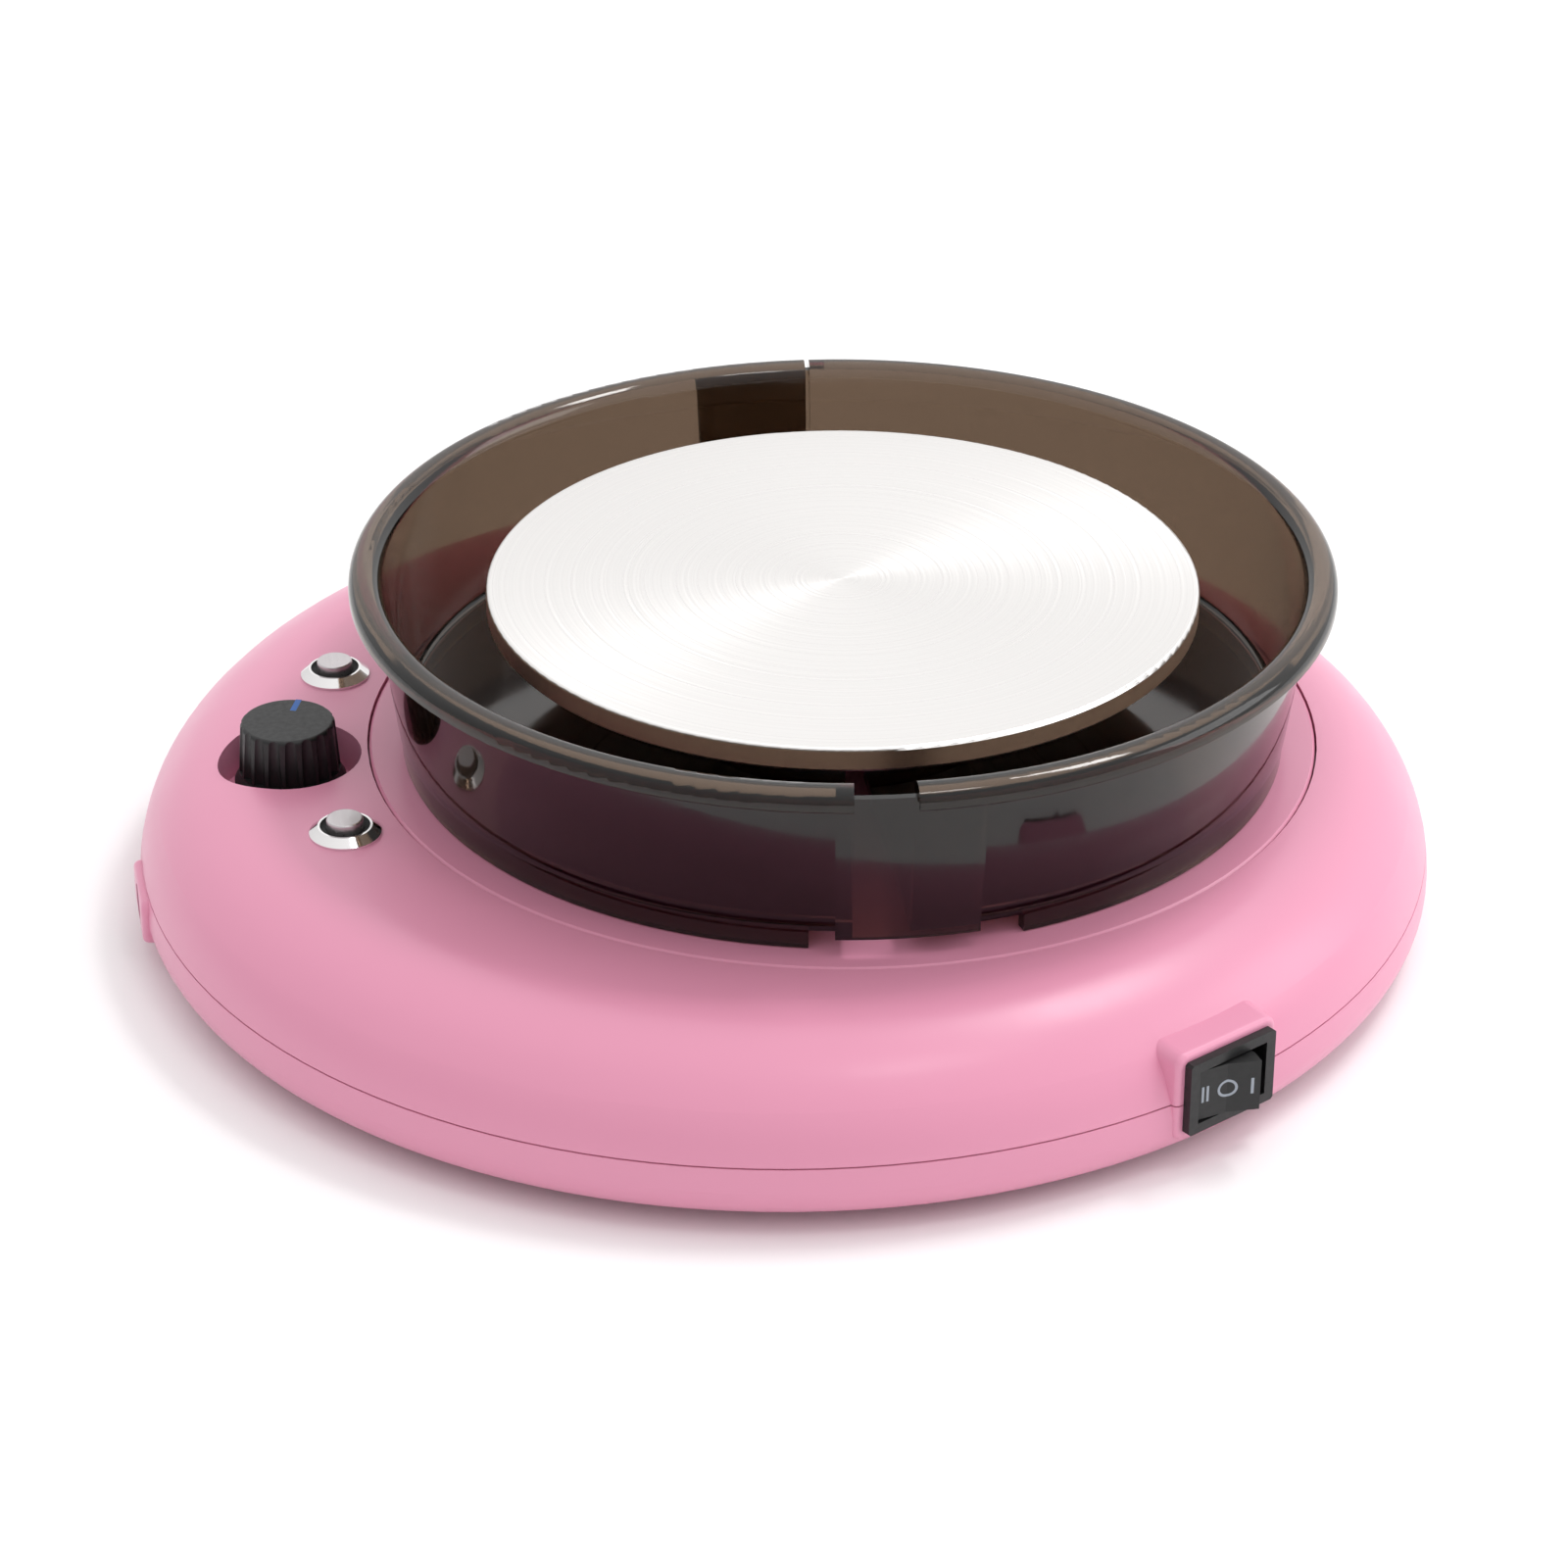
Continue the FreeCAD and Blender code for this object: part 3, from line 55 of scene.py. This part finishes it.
class Look:
    """A material under construction: its node tree and its main shader."""

    def __init__(self, name, color, roughness, metallic=0.0):
        self.material = bpy.data.materials.new(name)
        self.material.use_nodes = True
        self.tree = self.material.node_tree
        self.shader = self.tree.nodes["Principled BSDF"]
        self.set("Base Color", (*color, 1.0))
        self.set("Roughness", roughness)
        self.set("Metallic", metallic)
        self.color = color
        self.height = None

    def set(self, socket, value):
        """Give one shader socket a fixed value."""
        self.shader.inputs[socket].default_value = value

    def node(self, kind, **settings):
        """New node with some of its properties set."""
        made = self.tree.nodes.new(kind)
        for key, value in settings.items():
            setattr(made, key, value)
        return made

    def link(self, source, target):
        """Join two sockets."""
        self.tree.links.new(source, target)

    def place(self):
        """Coordinates that stay with the piece, in metres."""
        return self.node("ShaderNodeTexCoord").outputs["Object"]

    def math(self, operation, first, second=None):
        """One math node on a socket, with a fixed second number where it takes two."""
        made = self.node("ShaderNodeMath", operation=operation)
        self.link(first, made.inputs[0])
        if second is not None:
            made.inputs[1].default_value = second
        return made.outputs[0]

    def noise(self, scale, detail, stretch=None):
        """Noise value over the piece; stretch scales the axes apart."""
        made = self.node("ShaderNodeTexNoise")
        made.inputs["Scale"].default_value = scale
        made.inputs["Detail"].default_value = detail
        made.inputs["Roughness"].default_value = 0.55
        source = self.place()
        if stretch is not None:
            mapping = self.node("ShaderNodeMapping")
            mapping.inputs["Scale"].default_value = stretch
            self.link(source, mapping.inputs["Vector"])
            source = mapping.outputs["Vector"]
        self.link(source, made.inputs["Vector"])
        return made.outputs[0]

    def spread(self, value, low, high):
        """Stretch the middle range of a noise value to run from low to high."""
        made = self.node("ShaderNodeMapRange")
        made.inputs["From Min"].default_value = 0.3
        made.inputs["From Max"].default_value = 0.7
        made.inputs["To Min"].default_value = low
        made.inputs["To Max"].default_value = high
        self.link(value, made.inputs["Value"])
        return made.outputs["Result"]

    def tint(self, value, dark, light):
        """Base colour that runs from dark to light with a value between 0 and 1."""
        mixer = self.node("ShaderNodeMix", data_type="RGBA")
        self.link(value, mixer.inputs[0])
        colors = [socket for socket in mixer.inputs if socket.type == "RGBA"]
        for socket, factor in zip(colors, (dark, light)):
            socket.default_value = (*[min(part * factor, 1.0) for part in self.color], 1.0)
        result = [socket for socket in mixer.outputs if socket.type == "RGBA"][0]
        self.link(result, self.shader.inputs["Base Color"])

    def gloss(self, value, low, high):
        """Roughness that runs from low to high with a value."""
        self.link(self.spread(value, low, high), self.shader.inputs["Roughness"])

    def relief(self, value, depth, strength):
        """Add a height in metres to the surface, on top of any relief it already has."""
        made = self.node("ShaderNodeBump")
        made.inputs["Distance"].default_value = depth
        made.inputs["Strength"].default_value = strength
        self.link(value, made.inputs["Height"])
        if self.height is not None:
            self.link(self.height, made.inputs["Normal"])
        self.height = made.outputs["Normal"]
        self.link(self.height, self.shader.inputs["Normal"])

    def radius(self, axis):
        """Distance from the vertical axis through a place."""
        shifted = self.node("ShaderNodeVectorMath", operation="SUBTRACT")
        self.link(self.place(), shifted.inputs[0])
        shifted.inputs[1].default_value = (axis.x, axis.y, 0.0)
        flat = self.node("ShaderNodeVectorMath", operation="MULTIPLY")
        self.link(shifted.outputs[0], flat.inputs[0])
        flat.inputs[1].default_value = (1.0, 1.0, 0.0)
        length = self.node("ShaderNodeVectorMath", operation="LENGTH")
        self.link(flat.outputs[0], length.inputs[0])
        return length.outputs["Value"]


def plain_metal(name, color, roughness):
    """Machined or plated metal with a fine grain and faint staining."""
    look = Look(name, color, roughness, 1.0)
    grain = look.noise(900.0, 3.0, (1.0, 1.0, 6.0))
    look.gloss(grain, roughness * 0.75, roughness * 1.3)
    look.relief(look.noise(1500.0, 2.0), 0.00002, 0.3)
    look.tint(look.noise(60.0, 3.0), 0.93, 1.04)
    return look.material


def plain_plastic(name, color, roughness):
    """Moulded plastic with a fine eroded grain."""
    look = Look(name, color, roughness)
    look.tint(look.noise(140.0, 4.0), 0.9, 1.1)
    look.gloss(look.noise(500.0, 3.0), roughness * 0.85, roughness * 1.15)
    look.relief(look.noise(2600.0, 2.0), 0.00004, 0.5)
    look.set("IOR", 1.5)
    return look.material


# ------------------------------------------------------------------ materials


def pink_gloss():
    """Glossy moulded ABS in candy pink, with the slight waviness of a moulded skin."""
    look = Look("pink_gloss", (0.76, 0.3, 0.44), 0.3)
    look.tint(look.noise(9.0, 2.0), 0.97, 1.02)
    look.gloss(look.noise(70.0, 4.0), 0.285, 0.34)
    look.relief(look.noise(20.0, 1.0), 0.0001, 0.3)
    look.set("IOR", 1.5)
    return look.material


def smoked_clear():
    """See-through smoked plastic, polished, with faint flow marks."""
    look = Look("smoked_clear", (0.125, 0.083, 0.056), 0.06)
    look.tint(look.noise(12.0, 3.0), 0.94, 1.05)
    look.gloss(look.noise(90.0, 4.0), 0.04, 0.1)
    look.relief(look.noise(40.0, 2.0, (1.0, 1.0, 0.4)), 0.00008, 0.25)
    look.set("Transmission Weight", 1.0)
    look.set("IOR", 1.49)
    look.set("Specular IOR Level", 0.22)
    return look.material


def turned_aluminium():
    """Face-turned disc: fine circular grooves that stretch the highlights across the rings."""
    groove_pitch = 0.45 * MM
    look = Look("turned_aluminium", (0.85, 0.83, 0.815), 0.34, 1.0)
    radius = look.radius(TURN_AXIS)
    groove = look.math("SINE", look.math("MULTIPLY", radius, 2 * math.pi / groove_pitch))
    look.relief(groove, 0.000004, 0.4)
    ring_noise = look.node("ShaderNodeTexNoise", noise_dimensions="1D")
    ring_noise.inputs["Scale"].default_value = 1700.0
    ring_noise.inputs["Detail"].default_value = 6.0
    look.link(radius, ring_noise.inputs["W"])
    look.gloss(ring_noise.outputs[0], 0.26, 0.4)
    look.relief(ring_noise.outputs[0], 0.000004, 0.4)
    look.tint(look.spread(ring_noise.outputs[0], 0.0, 1.0), 0.95, 1.03)
    look.set("Anisotropic", 0.75)
    tangent = look.node("ShaderNodeTangent", direction_type="RADIAL", axis="Z")
    look.link(tangent.outputs[0], look.shader.inputs["Tangent"])
    return look.material


def chrome():
    """Bright plating with slight polishing marks."""
    look = Look("chrome", (0.82, 0.8, 0.8), 0.09, 1.0)
    look.gloss(look.noise(400.0, 3.0), 0.06, 0.13)
    look.relief(look.noise(90.0, 2.0), 0.00003, 0.25)
    return look.material


def satin_cap():
    """Satin steel cap, brushed in one direction."""
    look = Look("satin_cap", (0.6, 0.565, 0.575), 0.32, 1.0)
    brushed = look.noise(2200.0, 3.0, (1.0, 0.04, 1.0))
    look.gloss(brushed, 0.26, 0.42)
    look.relief(brushed, 0.00001, 0.6)
    return look.material


def soft_black():
    """Black moulded plastic with a fine grain."""
    look = Look("soft_black", (0.006, 0.006, 0.0065), 0.42)
    look.tint(look.noise(300.0, 4.0), 0.8, 1.3)
    look.gloss(look.noise(900.0, 3.0), 0.36, 0.5)
    look.relief(look.noise(3000.0, 2.0), 0.00003, 0.5)
    return look.material


def rubber():
    """Matt black rubber."""
    look = Look("rubber", (0.02, 0.02, 0.021), 0.78)
    look.tint(look.noise(400.0, 4.0), 0.7, 1.4)
    look.gloss(look.noise(800.0, 3.0), 0.7, 0.88)
    look.relief(look.noise(1800.0, 3.0), 0.00006, 0.6)
    return look.material


LOOKS = {
    "pink_shell": pink_gloss(),
    "smoked_plastic": smoked_clear(),
    "turned_aluminium": turned_aluminium(),
    "cast_aluminium": plain_metal("cast_aluminium", (0.6, 0.6, 0.61), 0.42),
    "rubber": rubber(),
    "zinc_steel": plain_metal("zinc_steel", (0.6, 0.6, 0.58), 0.34),
    "bright_steel": plain_metal("bright_steel", (0.7, 0.7, 0.71), 0.2),
    "chrome": chrome(),
    "satin_steel": satin_cap(),
    "black_plastic": soft_black(),
    "blue_mark": plain_plastic("blue_mark", (0.008, 0.11, 0.42), 0.45),
    "white_plastic": plain_plastic("white_plastic", (0.75, 0.74, 0.7), 0.45),
    "brass": plain_metal("brass", (0.75, 0.58, 0.3), 0.28),
    "board_green": plain_plastic("board_green", (0.02, 0.16, 0.06), 0.35),
    "ferrite": plain_plastic("ferrite", (0.05, 0.05, 0.055), 0.6),
    "capacitor_sleeve": plain_plastic("capacitor_sleeve", (0.02, 0.02, 0.07), 0.35),
}

for name, piece in frame["nodes"].items():
    for slot in piece.material_slots:
        slot.material = LOOKS[SLOT_OF[name]]

# ------------------------------------------------------------------ rocker marks

# The rocker's two faces meet in a shallow valley and rise to its tips. Lengths are in mm.
ROCKER_TILT = math.radians(20.0)
VALLEY = 5.6
TIP_RISE = 1.0
TIP_REACH = 6.2
PRINT_SUNK = -0.03
PRINT_PROUD = 0.045
STROKE_TALL = 3.3
PIVOT = Vector(JOINTS["rocker_tilt"]["pos_m"])
OUTWARD = Vector((PIVOT.x, PIVOT.y, 0.0)).normalized()
ALONG_RIM = Vector((-OUTWARD.y, OUTWARD.x, 0.0))


def rocker_point(x, y, lift):
    """Point on the rocker's two faces: x along the rim and y up, in mm from its middle."""
    face = VALLEY + TIP_RISE * abs(x) / TIP_REACH + lift
    side = x * math.cos(ROCKER_TILT) - face * math.sin(ROCKER_TILT)
    proud = x * math.sin(ROCKER_TILT) + face * math.cos(ROCKER_TILT)
    return PIVOT + (ALONG_RIM * side + OUTWARD * proud + Vector((0, 0, y))) * MM


def mark_mesh(name, outer, inner=None):
    """Thin print on the rocker: a filled outline, or the band between two outlines, in mm."""
    made = bmesh.new()
    loops = []
    for lift in (PRINT_SUNK, PRINT_PROUD):
        for outline in (outer, inner):
            if outline:
                loops.append([made.verts.new(rocker_point(x, y, lift)) for x, y in outline])
    if inner:
        low_out, low_in, high_out, high_in = loops
        pairs = ((low_out, high_out), (high_out, high_in), (high_in, low_in), (low_in, low_out))
    else:
        low_out, high_out = loops
        pairs = ((low_out, high_out),)
        made.faces.new(high_out)
        made.faces.new(low_out[::-1])
    for first, second in pairs:
        for index in range(len(outer)):
            made.faces.new((first[index - 1], first[index], second[index], second[index - 1]))
    bmesh.ops.recalc_face_normals(made, faces=made.faces)
    mesh = bpy.data.meshes.new(name)
    made.to_mesh(mesh)
    made.free()
    return mesh


def stroke(x, width):
    """Outline of an upright stroke."""
    left, right = x - width / 2, x + width / 2
    low, high = -STROKE_TALL / 2, STROKE_TALL / 2
    return [(left, low), (right, low), (right, high), (left, high)]


def oval(half_width, half_height, count=40):
    """Outline of an upright oval."""
    steps = [2 * math.pi * index / count for index in range(count)]
    return [(half_width * math.cos(step), half_height * math.sin(step)) for step in steps]


def add_mark(name, look, outer, inner=None):
    """Put one mark on the rocker, riding with it."""
    mesh = mark_mesh(name, outer, inner)
    mark = bpy.data.objects.new(name, mesh)
    bpy.context.scene.collection.objects.link(mark)
    mesh.materials.append(look)
    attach(mark, "rocker")


switch_print = plain_plastic("switch_print", (0.32, 0.35, 0.4), 0.5)
add_mark("mark_two_left", switch_print, stroke(-5.1, 0.5))
add_mark("mark_two_right", switch_print, stroke(-4.1, 0.5))
add_mark("mark_off", switch_print, oval(2.0, 1.8), oval(1.5, 1.3))
add_mark("mark_one", switch_print, stroke(4.7, 0.55))

# ------------------------------------------------------------------ studio


def studio_floor(half_width):
    """Pale seamless floor, level with the underside of the feet."""
    made = bmesh.new()
    bmesh.ops.create_grid(made, x_segments=1, y_segments=1, size=half_width)
    mesh = bpy.data.meshes.new("floor")
    made.to_mesh(mesh)
    made.free()
    floor = bpy.data.objects.new("floor", mesh)
    bpy.context.scene.collection.objects.link(floor)
    look = Look("floor_paint", (0.93, 0.93, 0.93), 0.75)
    look.tint(look.noise(3.0, 2.0), 0.99, 1.01)
    mesh.materials.append(look.material)


def area_light(name, place, size, power):
    """Soft white rectangular lamp that points at the wheel."""
    data = bpy.data.lights.new(name, "AREA")
    data.shape = "RECTANGLE"
    data.size, data.size_y = size
    data.energy = power
    lamp = bpy.data.objects.new(name, data)
    lamp.location = place
    lamp.rotation_mode = "QUATERNION"
    lamp.rotation_quaternion = (LAMP_AIM - lamp.location).to_track_quat("-Z", "Y")
    bpy.context.scene.collection.objects.link(lamp)


def studio_world(level, rise):
    """White surround: an even level, brighter towards the direction of rise."""
    world = bpy.data.worlds.new("studio")
    world.use_nodes = True
    tree = world.node_tree
    back = tree.nodes["Background"]
    back.inputs["Color"].default_value = (1.0, 1.0, 1.0, 1.0)
    place = tree.nodes.new("ShaderNodeTexCoord")
    along = tree.nodes.new("ShaderNodeVectorMath")
    along.operation = "DOT_PRODUCT"
    along.inputs[1].default_value = rise
    total = tree.nodes.new("ShaderNodeMath")
    total.inputs[1].default_value = level
    tree.links.new(place.outputs["Generated"], along.inputs[0])
    tree.links.new(along.outputs["Value"], total.inputs[0])
    tree.links.new(total.outputs[0], back.inputs["Strength"])
    bpy.context.scene.world = world


LAMP_AIM = Vector((0.0, -0.02, 0.03))
studio_floor(6.0)
studio_world(0.7, (0.15, 0.2, 0.45))
area_light("key", (0.64, 0.26, 1.33), (0.5, 0.2), 5.0)
area_light("fill", (0.3, -0.55, 1.4), (0.3, 0.16), 1.2)
area_light("side", (1.35, -0.15, 0.75), (0.9, 0.7), 4.0)
bpy.context.scene.view_settings.view_transform = "Standard"

# ------------------------------------------------------------------ camera

TURN = math.radians(-8.6)
TILT = math.radians(29.08)
LENS = 105.2
DISTANCE = 0.9
STEP_LEFT = 0.0115
STEP_DOWN = 0.0404


def camera():
    """Long lens, from the front and a little to the left, looking down at the wheel."""
    level = Vector((-math.sin(TURN), math.cos(TURN), 0.0))
    forward = level * math.cos(TILT) - Vector((0.0, 0.0, math.sin(TILT)))
    up = level * math.sin(TILT) + Vector((0.0, 0.0, math.cos(TILT)))
    across = forward.cross(up)
    aim = Vector((TURN_AXIS.x, TURN_AXIS.y, TABLE_TOP))
    data = bpy.data.cameras.new("camera")
    data.lens = LENS
    data.sensor_width = 36.0
    data.clip_start = 0.05
    data.clip_end = 50.0
    view = bpy.data.objects.new("camera", data)
    view.location = aim - across * STEP_LEFT - up * STEP_DOWN - forward * DISTANCE
    view.rotation_mode = "QUATERNION"
    view.rotation_quaternion = Matrix((across, up, -forward)).transposed().to_quaternion()
    bpy.context.scene.collection.objects.link(view)
    bpy.context.scene.camera = view


camera()
